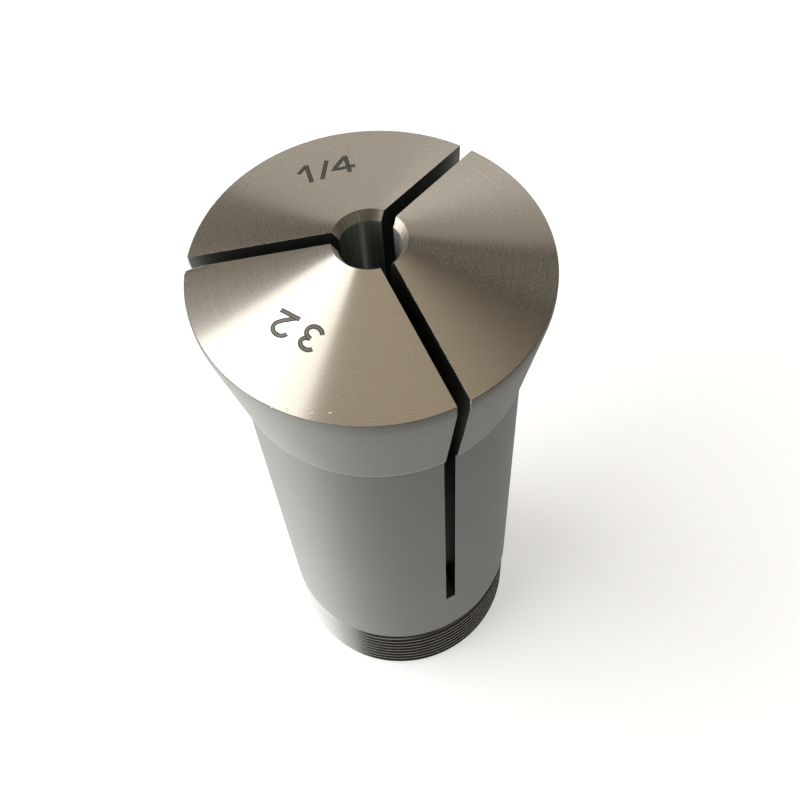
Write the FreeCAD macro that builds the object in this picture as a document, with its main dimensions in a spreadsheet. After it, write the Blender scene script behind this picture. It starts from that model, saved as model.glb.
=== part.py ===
import FreeCAD, Part
import os
import re

import Sketcher

# A lathe collet with a plain round bore, turned from one bar of spring steel.
# It stands on its threaded rear end, and +Z runs along its axis to the nose.
# The nose is a shallow cone with the bore's mouth in the middle.
# Three saw cuts divide the head and the spring wall into three jaws.

NODE = "collet"

# Driving sizes in millimetres and degrees: name, value, what it measures.
SIZES = [
    ("overall_length", 83.3, "rear end to the mouth of the bore"),
    ("head_dia", 37.465, "widest part, the land under the nose"),
    ("face_angle", 15.3, "slope of the nose, from a flat face"),
    ("land_length", 1.07, "cylindrical land under the rim"),
    ("taper_angle", 10, "slope of the closing taper, per side"),
    ("taper_length", 13.59, "closing taper, along the axis"),
    ("shoulder_angle", 45, "small cone from the taper down to the shank"),
    ("shank_dia", 31.75, "ground bearing of the shank"),
    ("edge_break", 0.3, "chamfer where the shank ends at the relief"),
    ("relief_dia", 29.8, "groove behind the rear thread"),
    ("relief_length", 1.5, "groove, along the axis"),
    ("thread_dia", 31.45, "crests of the rear thread"),
    ("thread_length", 11.1, "rear thread, along the axis"),
    ("thread_lead", 0.8, "chamfer where the rear thread starts"),
    ("bore_dia", 6.35, "bore that grips the work"),
    ("bore_length", 25.4, "grip bore with its mouth, along the axis"),
    ("mouth_dia", 7.62, "countersink at the nose"),
    ("mouth_angle", 30, "slope of the countersink, per side"),
    ("throat_angle", 59, "slope of the cone behind the grip bore, per side"),
    ("back_bore_dia", 24.6, "hollow inside the spring wall"),
    ("stop_thread_dia", 25.3, "crests of the thread inside the rear end"),
    ("stop_thread_length", 16, "inner thread, along the axis"),
    ("stop_thread_lead", 0.8, "chamfer where the inner thread starts"),
    ("slit_count", 3, "saw cuts, evenly spaced"),
    ("slit_width", 1.41, "thickness of the saw"),
    ("slit_end", 23.35, "height of a cut's lower end on the shank"),
    ("saw_radius", 50, "radius of the saw, which the cuts end in"),
    ("key_width", 4.4, "keyway across"),
    ("key_depth", 1.6, "keyway, below the shank"),
    ("key_length", 28, "keyway, from the rear end"),
]

# Heights and radii that several features share, worked out from the sizes.
RIM_Z = "overall_length - (head_dia - mouth_dia) / 2 * tan(face_angle)"
LAND_Z = f"{RIM_Z} - land_length"
TAPER_Z = f"{LAND_Z} - taper_length"
TAPER_R = "head_dia / 2 - taper_length * tan(taper_angle)"
SHANK_TOP_Z = f"{TAPER_Z} - ({TAPER_R} - shank_dia / 2) * tan(shoulder_angle)"
SHANK_Z = "thread_length + relief_length"
MOUTH_Z = "overall_length - (mouth_dia - bore_dia) / 2 / tan(mouth_angle)"
BORE_Z = "overall_length - bore_length"
THROAT_Z = f"{BORE_Z} - (back_bore_dia - bore_dia) / 2 / tan(throat_angle)"
SAW_Z = "slit_end + sqrt(shank_dia / 2 * (2 * saw_radius - shank_dia / 2))"
KEY_TURN = "180 - 180 / slit_count"

# The turned outside, as radius and height, from the rear end up to the nose.
OUTSIDE = [
    ("0", "0"),
    ("thread_dia / 2 - thread_lead", "0"),
    ("thread_dia / 2", "thread_lead"),
    ("thread_dia / 2", "thread_length"),
    ("relief_dia / 2", "thread_length + (thread_dia - relief_dia) / 2"),
    ("relief_dia / 2", SHANK_Z),
    ("shank_dia / 2 - edge_break", SHANK_Z),
    ("shank_dia / 2", f"{SHANK_Z} + edge_break"),
    ("shank_dia / 2", SHANK_TOP_Z),
    (TAPER_R, TAPER_Z),
    ("head_dia / 2", LAND_Z),
    ("head_dia / 2", RIM_Z),
    ("mouth_dia / 2", "overall_length"),
    ("0", "overall_length"),
]

# The bored inside: inner thread, hollow, throat cone, grip bore and mouth.
INSIDE = [
    ("0", "0"),
    ("stop_thread_dia / 2 + stop_thread_lead", "0"),
    ("stop_thread_dia / 2", "stop_thread_lead"),
    ("stop_thread_dia / 2", "stop_thread_length"),
    ("back_bore_dia / 2", "stop_thread_length"),
    ("back_bore_dia / 2", THROAT_Z),
    ("bore_dia / 2", BORE_Z),
    ("bore_dia / 2", MOUTH_Z),
    ("mouth_dia / 2", "overall_length"),
    ("0", "overall_length"),
]


def make_sheet(doc):
    """The sheet of driving sizes, one row each: name, value and meaning."""
    sheet = doc.addObject("Spreadsheet::Sheet", "sizes")
    for row, (name, value, meaning) in enumerate(SIZES, start=1):
        sheet.set(f"A{row}", name)
        sheet.set(f"B{row}", str(value))
        sheet.set(f"C{row}", meaning)
        sheet.setAlias(f"B{row}", name)
    doc.recompute()
    return sheet


def bound(formula):
    """The formula with each size's name pointing into the sheet."""
    return re.sub(r"[a-z]+(?:_[a-z]+)+", r"sizes.\g<0>", formula)


def measure(sheet, formula):
    """The number that a formula over the sizes gives."""
    result = sheet.evalExpression(bound(formula))
    return float(getattr(result, "Value", result))


def new_sketch(body, name, role):
    """An empty sketch on one of the body's own origin planes."""
    plane = next(item for item in body.Origin.OriginFeatures if item.Role == role)
    sketch = body.newObject("Sketcher::SketchObject", name)
    sketch.AttachmentSupport = [(plane, "")]
    sketch.MapMode = "FlatFace"
    return sketch


def hold(sketch, kind, places, formula):
    """Add a distance between two points of the sketch and tie it to the sheet."""
    index = sketch.addConstraint(Sketcher.Constraint(kind, *places, 1.0))
    sketch.setExpression(f"Constraints[{index}]", bound(formula))


def turned_profile(sheet, body, name, corners):
    """A closed outline of straight runs from the axis, out and back to the axis.

    It is drawn on the -X side, where a saw cut later takes away the seam of each round face.
    """
    sketch = new_sketch(body, name, "XZ_Plane")
    half_turn = FreeCAD.Rotation(FreeCAD.Vector(0, 1, 0), 180)
    sketch.AttachmentOffset = FreeCAD.Placement(FreeCAD.Vector(0, 0, 0), half_turn)
    points = [FreeCAD.Vector(measure(sheet, r), measure(sheet, z), 0) for r, z in corners]
    count = len(points)
    for index, point in enumerate(points):
        sketch.addGeometry(Part.LineSegment(point, points[(index + 1) % count]))
    for index, (radius, height) in enumerate(corners):
        sketch.addConstraint(Sketcher.Constraint("Coincident", index - 1 if index else count - 1, 2, index, 1))
        if radius == "0":
            sketch.addConstraint(Sketcher.Constraint("PointOnObject", index, 1, -2))
        else:
            hold(sketch, "DistanceX", (-1, 1, index, 1), radius)
        if height == "0":
            sketch.addConstraint(Sketcher.Constraint("PointOnObject", index, 1, -1))
        else:
            hold(sketch, "DistanceY", (-1, 1, index, 1), height)
    return sketch


def turn(body, kind, name, sketch):
    """Revolve the sketch once round the axis, as a solid or as a cut."""
    feature = body.newObject(kind, name)
    feature.Profile = sketch
    feature.ReferenceAxis = (sketch, ["V_Axis"])
    feature.Angle = 360
    sketch.Visibility = False
    return feature


def saw_cut(sheet, body):
    """One radial cut: the saw's rim just reaches the axis, and its arc ends the cut."""
    sketch = new_sketch(body, "saw_path", "XZ_Plane")
    radius = measure(sheet, "saw_radius * 1")
    centre_z = measure(sheet, SAW_Z)
    top_z = measure(sheet, "overall_length * 1")
    inner_low = FreeCAD.Vector(0, centre_z, 0)
    inner_top = FreeCAD.Vector(0, top_z, 0)
    outer_top = FreeCAD.Vector(-radius, top_z, 0)
    outer_low = FreeCAD.Vector(-radius, centre_z - radius, 0)
    middle = FreeCAD.Vector(-radius, centre_z, 0)
    along_axis = sketch.addGeometry(Part.LineSegment(inner_low, inner_top))
    across_top = sketch.addGeometry(Part.LineSegment(inner_top, outer_top))
    down_side = sketch.addGeometry(Part.LineSegment(outer_top, outer_low))
    circle = Part.Circle(middle, FreeCAD.Vector(0, 0, 1), radius)
    quarter = FreeCAD.Units.Quantity("90 deg").getValueAs("rad").Value
    arc = sketch.addGeometry(Part.ArcOfCircle(circle, 3 * quarter, 4 * quarter))
    sketch.addConstraint([
        Sketcher.Constraint("Coincident", along_axis, 2, across_top, 1),
        Sketcher.Constraint("Coincident", across_top, 2, down_side, 1),
        Sketcher.Constraint("Coincident", down_side, 2, arc, 1),
        Sketcher.Constraint("Coincident", arc, 2, along_axis, 1),
        Sketcher.Constraint("PointOnObject", along_axis, 1, -2),
        Sketcher.Constraint("PointOnObject", along_axis, 2, -2),
        Sketcher.Constraint("Horizontal", across_top),
        Sketcher.Constraint("Vertical", down_side),
    ])
    hold(sketch, "DistanceX", (arc, 3, -1, 1), "saw_radius * 1")
    hold(sketch, "DistanceX", (across_top, 2, -1, 1), "saw_radius * 1")
    hold(sketch, "DistanceY", (-1, 1, arc, 3), SAW_Z)
    hold(sketch, "DistanceY", (-1, 1, along_axis, 1), SAW_Z)
    hold(sketch, "DistanceY", (-1, 1, along_axis, 2), "overall_length * 1")
    cut = body.newObject("PartDesign::Pocket", "saw_cut")
    cut.Profile = sketch
    cut.SideType = "Symmetric"
    cut.setExpression("Length", bound("slit_width * 1"))
    sketch.Visibility = False
    return cut


def repeat_round_axis(body, feature, name):
    """Copies of a cut, evenly spaced round the axis."""
    axis = next(item for item in body.Origin.OriginFeatures if item.Role == "Z_Axis")
    pattern = body.newObject("PartDesign::PolarPattern", name)
    pattern.Originals = [feature]
    pattern.Axis = (axis, [""])
    pattern.Angle = 360
    pattern.setExpression("Occurrences", bound("slit_count * 1"))
    body.Tip = pattern
    return pattern


def keyway(sheet, body):
    """A milled slot with a round end, open at the rear, in the middle of one jaw."""
    sketch = new_sketch(body, "keyway_outline", "XZ_Plane")
    half = measure(sheet, "key_width / 2")
    round_z = measure(sheet, "key_length - key_width / 2")
    corners = [(half, 0), (half, round_z), (-half, round_z), (-half, 0)]
    right_low, right_top, left_top, left_low = [FreeCAD.Vector(x, y, 0) for x, y in corners]
    centre = FreeCAD.Vector(0, round_z, 0)
    quarter = FreeCAD.Units.Quantity("90 deg").getValueAs("rad").Value
    right = sketch.addGeometry(Part.LineSegment(right_low, right_top))
    circle = Part.Circle(centre, FreeCAD.Vector(0, 0, 1), half)
    arc = sketch.addGeometry(Part.ArcOfCircle(circle, 0, 2 * quarter))
    left = sketch.addGeometry(Part.LineSegment(left_top, left_low))
    rear = sketch.addGeometry(Part.LineSegment(left_low, right_low))
    sketch.addConstraint([
        Sketcher.Constraint("Tangent", right, 2, arc, 1),
        Sketcher.Constraint("Tangent", arc, 2, left, 1),
        Sketcher.Constraint("Coincident", left, 2, rear, 1),
        Sketcher.Constraint("Coincident", rear, 2, right, 1),
        Sketcher.Constraint("Vertical", right),
        Sketcher.Constraint("Vertical", left),
        Sketcher.Constraint("PointOnObject", arc, 3, -2),
        Sketcher.Constraint("PointOnObject", right, 1, -1),
        Sketcher.Constraint("PointOnObject", left, 2, -1),
    ])
    hold(sketch, "DistanceX", (-1, 1, right, 1), "key_width / 2")
    hold(sketch, "DistanceY", (-1, 1, arc, 3), "key_length - key_width / 2")
    sketch.setExpression("AttachmentOffset.Base.x", bound(f"shank_dia / 2 * cos({KEY_TURN})"))
    sketch.setExpression("AttachmentOffset.Base.z", bound(f"-shank_dia / 2 * sin({KEY_TURN})"))
    turned = FreeCAD.Rotation(FreeCAD.Vector(0, 1, 0), 90 + measure(sheet, KEY_TURN))
    sketch.AttachmentOffset = FreeCAD.Placement(sketch.AttachmentOffset.Base, turned)
    cut = body.newObject("PartDesign::Pocket", "keyway")
    cut.Profile = sketch
    cut.setExpression("Length", bound("key_depth * 1"))
    sketch.Visibility = False
    return cut


def make_collet(doc, sheet):
    """The whole collet: turned, bored, milled and sawn from one bar."""
    body = doc.addObject("PartDesign::Body", NODE)
    body.Label = NODE
    turn(body, "PartDesign::Revolution", "turned_blank", turned_profile(sheet, body, "outside", OUTSIDE))
    doc.recompute()
    turn(body, "PartDesign::Groove", "bored_inside", turned_profile(sheet, body, "inside", INSIDE))
    doc.recompute()
    keyway(sheet, body)
    doc.recompute()
    cut = saw_cut(sheet, body)
    doc.recompute()
    repeat_round_axis(body, cut, "saw_cuts")
    doc.recompute()
    return body


def check(doc, body):
    """Stop if any feature failed or the solid is not one sound piece."""
    for item in doc.Objects:
        bad = [state for state in item.State if state in ("Invalid", "Error")]
        if bad:
            raise RuntimeError(f"{item.Label} is {bad}")
    for sketch in (item for item in doc.Objects if item.isDerivedFrom("Sketcher::SketchObject")):
        if not sketch.FullyConstrained:
            raise RuntimeError(f"{sketch.Label} can still move")
    shape = body.Shape
    if shape.isNull() or not shape.isValid() or len(shape.Solids) != 1:
        raise RuntimeError(f"{body.Label} is not one sound solid")
    volumes = [step.Shape.Volume for step in body.Group if step.isDerivedFrom("PartDesign::Feature")]
    for earlier, later in zip(volumes, volumes[1:]):
        if later >= earlier:
            raise RuntimeError("a cut took nothing away")
    print("volumes after each step, mm3:", [round(volume) for volume in volumes])


def main():
    doc = FreeCAD.newDocument("lathe_collet")
    sheet = make_sheet(doc)
    body = make_collet(doc, sheet)
    check(doc, body)
    os.makedirs("parts", exist_ok=True)
    body.Shape.exportStep(f"parts/{body.Label}.step")
    box = body.Shape.BoundBox
    print(f"{body.Label}: {box.XLength:.2f} x {box.YLength:.2f} x {box.ZLength:.2f} mm")


main()
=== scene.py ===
# %% [markdown]
# # A lathe collet in spring steel
# A collet grips round work in a lathe. It is turned from one bar, so it is one closed body of metal:
# a head with a shallow cone for a nose, a closing taper under it, a ground shank, and a thread at the rear.
# Three saw cuts let the jaws of the head close on the bore.
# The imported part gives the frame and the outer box. This script gives the same body its true edges,
# its threads and its machined finishes.

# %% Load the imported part
import math

import bmesh
import bpy
import numpy as np
from mathutils import Matrix, Vector


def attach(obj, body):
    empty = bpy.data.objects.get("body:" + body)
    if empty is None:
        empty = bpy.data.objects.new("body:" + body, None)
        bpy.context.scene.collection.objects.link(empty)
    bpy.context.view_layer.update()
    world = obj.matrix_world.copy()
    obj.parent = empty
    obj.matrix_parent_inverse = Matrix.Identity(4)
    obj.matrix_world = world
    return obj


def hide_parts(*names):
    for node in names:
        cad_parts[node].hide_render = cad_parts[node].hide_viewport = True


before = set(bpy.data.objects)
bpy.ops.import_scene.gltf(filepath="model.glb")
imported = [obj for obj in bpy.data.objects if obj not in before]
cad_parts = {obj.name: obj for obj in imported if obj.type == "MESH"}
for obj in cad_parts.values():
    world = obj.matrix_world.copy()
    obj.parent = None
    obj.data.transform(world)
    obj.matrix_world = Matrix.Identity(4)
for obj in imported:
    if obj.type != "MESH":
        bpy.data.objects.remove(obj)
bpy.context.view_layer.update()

MM = 0.001

# %% [markdown]
# ## Camera
# The collet is seen from close by and from well above, so the head looms over the shank.
# The view is set by the point in the plane of the rim that the lens axis meets, the distance from there,
# and the height of the line of sight. A small shift places the picture in the square frame.

# %% Camera
OVERALL_LENGTH = 83.3
HEAD_RADIUS = 37.465 / 2
MOUTH_RADIUS = 7.62 / 2
FACE_ANGLE = math.radians(15.3)
RIM_Z = OVERALL_LENGTH - (HEAD_RADIUS - MOUTH_RADIUS) * math.tan(FACE_ANGLE)

VIEW_ELEVATION = math.radians(56.6974)
VIEW_AZIMUTH = math.radians(0.561)
VIEW_ROLL = math.radians(0.0391)
VIEW_DISTANCE = 106.03
VIEW_RIGHT = 8.228
VIEW_DOWN = 9.203
LENS = 47.6
NEAREST = 5 * MM
FARTHEST = 20
SHIFT_RIGHT = -0.06774
SHIFT_UP = -0.05454

turn_round = Matrix.Rotation(VIEW_AZIMUTH, 3, "Z")
back = turn_round @ Vector((0, -math.cos(VIEW_ELEVATION), math.sin(VIEW_ELEVATION)))
level = turn_round @ Vector((1, 0, 0))
upright = back.cross(level)
right = math.cos(VIEW_ROLL) * level + math.sin(VIEW_ROLL) * upright
up = math.cos(VIEW_ROLL) * upright - math.sin(VIEW_ROLL) * level
camera_place = Vector((0, 0, RIM_Z)) + VIEW_DISTANCE * back + VIEW_RIGHT * right - VIEW_DOWN * up

lens_data = bpy.data.cameras.new("camera")
lens_data.lens = LENS
lens_data.shift_x = SHIFT_RIGHT
lens_data.shift_y = SHIFT_UP
lens_data.clip_start = NEAREST
lens_data.clip_end = FARTHEST
camera = bpy.data.objects.new("camera", lens_data)
camera_turn = Matrix((right, up, back)).transposed().to_4x4()
camera.matrix_world = Matrix.Translation(camera_place * MM) @ camera_turn
bpy.context.scene.collection.objects.link(camera)
bpy.context.scene.camera = camera
print("camera at, mm:", [round(value, 1) for value in camera_place])

# %% [markdown]
# ## The turned section
# Everything but the cuts is a body of revolution, so it is described by radius and height.
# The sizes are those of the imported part, in millimetres, and the corners follow from them.

# %% Sizes of the section
LAND_LENGTH = 1.07
TAPER_ANGLE = math.radians(10)
TAPER_LENGTH = 13.59
SHANK_RADIUS = 31.75 / 2
EDGE_BREAK = 0.3
RELIEF_RADIUS = 29.8 / 2
RELIEF_LENGTH = 1.5
THREAD_RADIUS = 31.45 / 2
THREAD_LENGTH = 11.1
THREAD_LEAD = 0.8
BORE_RADIUS = 6.35 / 2
BORE_LENGTH = 25.4
MOUTH_ANGLE = math.radians(30)
THROAT_ANGLE = math.radians(59)
HOLLOW_RADIUS = 24.6 / 2
STOP_RADIUS = 25.3 / 2
STOP_LENGTH = 16
STOP_LEAD = 0.8

LAND_Z = RIM_Z - LAND_LENGTH
TAPER_Z = LAND_Z - TAPER_LENGTH
TAPER_RADIUS = HEAD_RADIUS - TAPER_LENGTH * math.tan(TAPER_ANGLE)
SHANK_TOP_Z = TAPER_Z - (TAPER_RADIUS - SHANK_RADIUS)
SHANK_Z = THREAD_LENGTH + RELIEF_LENGTH
GROOVE_Z = THREAD_LENGTH + THREAD_RADIUS - RELIEF_RADIUS
MOUTH_Z = OVERALL_LENGTH - (MOUTH_RADIUS - BORE_RADIUS) / math.tan(MOUTH_ANGLE)
BORE_Z = OVERALL_LENGTH - BORE_LENGTH
THROAT_Z = BORE_Z - (HOLLOW_RADIUS - BORE_RADIUS) / math.tan(THROAT_ANGLE)
print(f"rim {RIM_Z:.2f}, land {LAND_Z:.2f}, taper {TAPER_Z:.2f}, shank top {SHANK_TOP_Z:.2f} mm")

# %% [markdown]
# ## Columns round a jaw
# A grid over the section needs columns that bend round the cuts. Each jaw is made as two mirrored halves.
# From the middle of the jaw outwards, the first columns span the keyway, the main ones span the jaw,
# one lies on the wall of the saw cut, and the last ones bridge the metal below the cut.
# The three jaws share one set of columns, so that neighbouring surfaces meet point for point.

# %% Sizes of the cuts, and the columns
KEY_HALF = 4.4 / 2
KEY_FLOOR = SHANK_RADIUS - 1.6
KEY_ROUND_Z = 28 - KEY_HALF
SLIT_HALF = 1.41 / 2
SLIT_END_Z = 23.35
SAW_RADIUS = 50
SAW_Z = SLIT_END_Z + math.sqrt(SHANK_RADIUS * (2 * SAW_RADIUS - SHANK_RADIUS))
JAWS = np.radians([0, 120, 240])
HALF_JAWS = 2 * len(JAWS)
KEY_JAW = 1
SECTOR = math.radians(60)

KEY_COLUMNS = 7
MAIN_COLUMNS = 40
BRIDGE_COLUMNS = 2
WALL_MARGIN = 0.35
PLAIN_START = math.atan(KEY_HALF / KEY_FLOOR)

key_step = np.sin(np.linspace(0, math.pi / 2, KEY_COLUMNS + 1))
main_step = np.linspace(0, 1, MAIN_COLUMNS + 1)[1:]
wall_step = np.linspace(1, 0, BRIDGE_COLUMNS + 1)
WALL = KEY_COLUMNS + 1 + MAIN_COLUMNS
COLUMNS = WALL + 1 + BRIDGE_COLUMNS
is_key = np.arange(COLUMNS) <= KEY_COLUMNS
is_wall = np.arange(COLUMNS) >= WALL
step = np.concatenate([key_step, main_step, wall_step])

jaw_turn = np.repeat(JAWS, 2)[:, None, None]
jaw_side = np.tile([-1.0, 1.0], len(JAWS))[:, None, None]
KEYED_HALVES = [2 * KEY_JAW, 2 * KEY_JAW + 1]
KEYED, PLAIN = 1, 0


def column_angles(radius, keyed):
    """The angle of each column from the middle of its jaw, in radians.

    A key column lies where the sine of its angle is its share of half the keyway over the radius (KEYED),
    or at its share of a fixed angle (PLAIN). A wall column lies where the sine of its angle from the
    middle of the cut is its share of half the cut over the radius. Main columns divide what is between.
    """
    start = (1 - keyed) * PLAIN_START + keyed * np.arcsin(KEY_HALF / np.maximum(radius, KEY_HALF))
    in_key = np.arcsin(np.minimum(KEY_HALF * step / radius, 1))
    over_key = (1 - keyed) * PLAIN_START * step + keyed * in_key
    last = SECTOR - np.arcsin(SLIT_HALF / radius) - WALL_MARGIN / radius
    over_jaw = start + step * (last - start)
    over_wall = SECTOR - np.arcsin(SLIT_HALF * step / radius)
    return np.where(is_key, over_key, np.where(is_wall, over_wall, over_jaw))


print(f"{COLUMNS} columns a half jaw, {HALF_JAWS * (COLUMNS - 1)} round the collet")

# %% [markdown]
# ## Laying a surface over the columns
# A surface is a block of rows by columns for all six half jaws at once. Its points are worked out as whole
# arrays, and its faces come from the same numbering each time. Blocks share their border points,
# which are merged at the end.

# %% Collect the surfaces
NOSE, HEAD, SHANK, REAR, MOUTH, BORE, SAWN, SAW_END, INSIDE, MILLED = range(10)
blocks = []


def spread(radius, angle, height):
    """Points from radius, angle from the jaw's middle and height: the angle is mirrored for one half
    and then turned to its jaw. Returns x, y and z in the last axis."""
    turned = jaw_turn + jaw_side * angle
    radius, turned, height = np.broadcast_arrays(radius, turned, height)
    return np.stack([radius * np.cos(turned), radius * np.sin(turned), height], axis=-1)


def add_block(points, finish, halves=range(HALF_JAWS), first=0, last=None):
    """Keep the quads between neighbouring rows and columns of the chosen half jaws."""
    last = points.shape[2] - 1 if last is None else last
    rows = points.shape[1]
    number = np.arange(points.shape[0] * rows * points.shape[2]).reshape(points.shape[:3])
    chosen = number[list(halves), :, first:last + 1]
    quads = np.stack([chosen[:, :-1, :-1], chosen[:, :-1, 1:],
                      chosen[:, 1:, 1:], chosen[:, 1:, :-1]], axis=-1)
    blocks.append((points.reshape(-1, 3), quads.reshape(-1, 4), finish))


def add_rows(radius, height, keyed, finish, bridged=False, in_keyway=False):
    """A surface over rows of given radius and height. Below the saw cuts it is bridged right round.
    Beside the keyway the keyed jaw has no key columns, and gets the keyway's wall instead."""
    points = spread(radius, column_angles(radius, keyed), height)
    last = COLUMNS - 1 if bridged else WALL
    if not in_keyway:
        add_block(points, finish, last=last)
        return points
    plain = [half for half in range(HALF_JAWS) if half not in KEYED_HALVES]
    add_block(points, finish, halves=plain, last=last)
    add_block(points, finish, halves=KEYED_HALVES, first=KEY_COLUMNS, last=last)
    side_height = points[:, :, KEY_COLUMNS:KEY_COLUMNS + 1, 2]
    floor = spread(math.hypot(KEY_FLOOR, KEY_HALF), PLAIN_START, side_height)
    wall = np.concatenate([points[:, :, KEY_COLUMNS:KEY_COLUMNS + 1], floor], axis=2)
    add_block(wall, MILLED, halves=KEYED_HALVES)
    return points


def run(start, end, count):
    """Rows along a straight run of the section, evenly spaced, as radius and height columns."""
    line = np.linspace(start, end, count + 1)
    return line[:, :1], line[:, 1:]


print("ready to lay surfaces on", HALF_JAWS, "half jaws")

# %% [markdown]
# ## The thread
# A thread is the same section with a vee cut along a helix. Its rows climb with the helix, so that crests
# and roots stay crisp with few faces, and rows that leave the threaded length are held at its ends,
# where they close up to nothing. The rear thread takes the closing tube and the inner one takes a stop.

# %% Thread surfaces
REAR_PITCH = 25.4 / 20
REAR_DEPTH = 0.779
STOP_PITCH = 25.4 / 24
STOP_DEPTH = 0.57
CREST_SHARE = 1 / 8
ROWS_A_FLANK = 4
RUN_OUT = 2.0
SETTLING_ROUNDS = 5


def vee_depth(height, turn, pitch, depth):
    """Depth of the thread under its crest: the distance along the axis from the middle of the nearest
    crest, less half the flat crest, times the slope of a 60 degree vee, and never more than the depth."""
    share = np.mod(height / pitch - turn / (2 * math.pi), 1)
    from_crest = np.minimum(share, 1 - share) * pitch
    return np.clip((from_crest - CREST_SHARE * pitch / 2) * math.sqrt(3), 0, depth)


def helix_rows(start, end, pitch, depth):
    """Heights of the rows at angle zero: the corners of the vee and steps on its flanks, each pitch."""
    crest_edge = CREST_SHARE / 2
    root_edge = crest_edge + depth / math.sqrt(3) / pitch
    flank = np.linspace(crest_edge, root_edge, ROWS_A_FLANK)
    turns = np.arange(math.floor(start / pitch) - 2, math.ceil(end / pitch) + 2)
    return np.sort(np.add.outer(turns, np.concatenate([flank, 1 - flank])).ravel())[:, None] * pitch


def threaded(start, end, pitch, depth, section, keyed):
    """Radius and height of a threaded surface: height is the row's own plus the helix's climb, held
    between the ends, and section gives the radius there. The columns move a little with the radius,
    so a few rounds settle them."""
    rows = helix_rows(start, end, pitch, depth)
    radius = np.full((HALF_JAWS, len(rows), COLUMNS), (section(start, 0) + section(end, 0)) / 2)
    for _ in range(SETTLING_ROUNDS):
        turn = jaw_turn + jaw_side * column_angles(radius, keyed)
        height = np.clip(rows + pitch * turn / (2 * math.pi), start, end)
        radius = section(height, turn)
    return radius, height


def rear_section(height, turn):
    """The outside of the rear end: the lowest of the lead cone, the vee and the slope to the relief."""
    lead = THREAD_RADIUS - THREAD_LEAD + height
    vee = THREAD_RADIUS - vee_depth(height, turn, REAR_PITCH, REAR_DEPTH)
    slope = THREAD_RADIUS - (height - THREAD_LENGTH)
    return np.minimum(np.minimum(lead, vee), slope)


def stop_section(height, turn):
    """The inside of the rear end: the largest of the lead cone and the vee, which runs out at the top."""
    lead = STOP_RADIUS + STOP_LEAD - height
    fade = np.clip((STOP_LENGTH - height) / RUN_OUT, 0, 1)
    vee = STOP_RADIUS + fade * vee_depth(height, turn, STOP_PITCH, STOP_DEPTH)
    return np.maximum(lead, vee)


print(f"pitches {REAR_PITCH:.2f} mm outside and {STOP_PITCH:.3f} mm inside")

# %% [markdown]
# ## Where the saw stops
# The saw is a disc, so each cut ends in an arc of its rim. The arc meets the shank outside at one height
# and the hollow inside at another, and the grid has a row at each.

# %% Saw arc


def saw_height(reach):
    """Height of the saw's rim at a distance from the axis: the saw's centre height less the half chord
    of its circle there."""
    return SAW_Z - np.sqrt(SAW_RADIUS ** 2 - (SAW_RADIUS - reach) ** 2)


def edge_heights(radius):
    """Heights of the row where a cut ends on a wall of given radius. The wall column and all before it
    lie level, and the bridging columns follow the arc."""
    share = np.where(is_wall, step, 1)
    return saw_height(np.sqrt(radius ** 2 - (SLIT_HALF * share) ** 2))


outer_edge = edge_heights(SHANK_RADIUS)
inner_edge = edge_heights(HOLLOW_RADIUS)
print(f"cuts end at {outer_edge[0]:.2f} mm outside and {inner_edge[0]:.2f} mm inside")

# %% [markdown]
# ## The body's surfaces, from the rear end round to the rear end
# The rows now go once round the section: rear face, thread, relief, shank, taper, land, nose, mouth, bore,
# throat, hollow and inner thread. The row at the round end of the keyway is bent, so that its middle columns
# follow the half circle that the milling cutter leaves.

# %% Outside of the rear end
rear_corner = math.hypot(KEY_FLOOR, KEY_HALF)
stop_mouth = STOP_RADIUS + STOP_LEAD
plain_angles = column_angles(np.full(COLUMNS, rear_corner), PLAIN)
notch_radius = np.where(is_key, KEY_FLOOR / np.cos(PLAIN_START * step), rear_corner)
rear_face = np.stack([np.full(COLUMNS, stop_mouth), notch_radius])
face_angles = np.stack([column_angles(rear_face[0], PLAIN), plain_angles])
add_block(spread(rear_face, face_angles, 0.0), REAR)

thread_foot = THREAD_RADIUS - THREAD_LEAD
rim_rows = np.stack([notch_radius, np.full(COLUMNS, thread_foot)])
rim_angles = np.stack([plain_angles, column_angles(rim_rows[1], KEYED)])
rear_rim = spread(rim_rows, rim_angles, 0.0)
add_block(rear_rim, REAR, halves=[half for half in range(HALF_JAWS) if half not in KEYED_HALVES])
add_block(rear_rim, REAR, halves=KEYED_HALVES, first=KEY_COLUMNS)

rear_thread = threaded(0.0, GROOVE_Z, REAR_PITCH, REAR_DEPTH, rear_section, KEYED)
groove_floor = run((RELIEF_RADIUS, GROOVE_Z), (RELIEF_RADIUS, SHANK_Z), count=1)
groove_wall = run((RELIEF_RADIUS, SHANK_Z), (SHANK_RADIUS - EDGE_BREAK, SHANK_Z), count=1)
shank_chamfer = run((SHANK_RADIUS - EDGE_BREAK, SHANK_Z), (SHANK_RADIUS, SHANK_Z + EDGE_BREAK), count=1)
add_rows(*rear_thread, KEYED, REAR, bridged=True, in_keyway=True)
add_rows(*groove_floor, KEYED, REAR, bridged=True, in_keyway=True)
add_rows(*groove_wall, KEYED, REAR, bridged=True, in_keyway=True)
add_rows(*shank_chamfer, KEYED, SHANK, bridged=True, in_keyway=True)
print(len(blocks), "surfaces at the rear end")

# %% Shank, with the ends of the saw cuts and of the keyway
LOW_ROWS = 4
HIGH_ROWS = 9
BEND_ROOM = 2

shank_foot = SHANK_Z + EDGE_BREAK
low_rows = np.linspace(shank_foot, outer_edge[0], LOW_ROWS)[:-1, None] + np.zeros(COLUMNS)
low = np.concatenate([low_rows, outer_edge[None]])
add_rows(np.full((LOW_ROWS, 1), SHANK_RADIUS), low, KEYED, SHANK, bridged=True, in_keyway=True)

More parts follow.
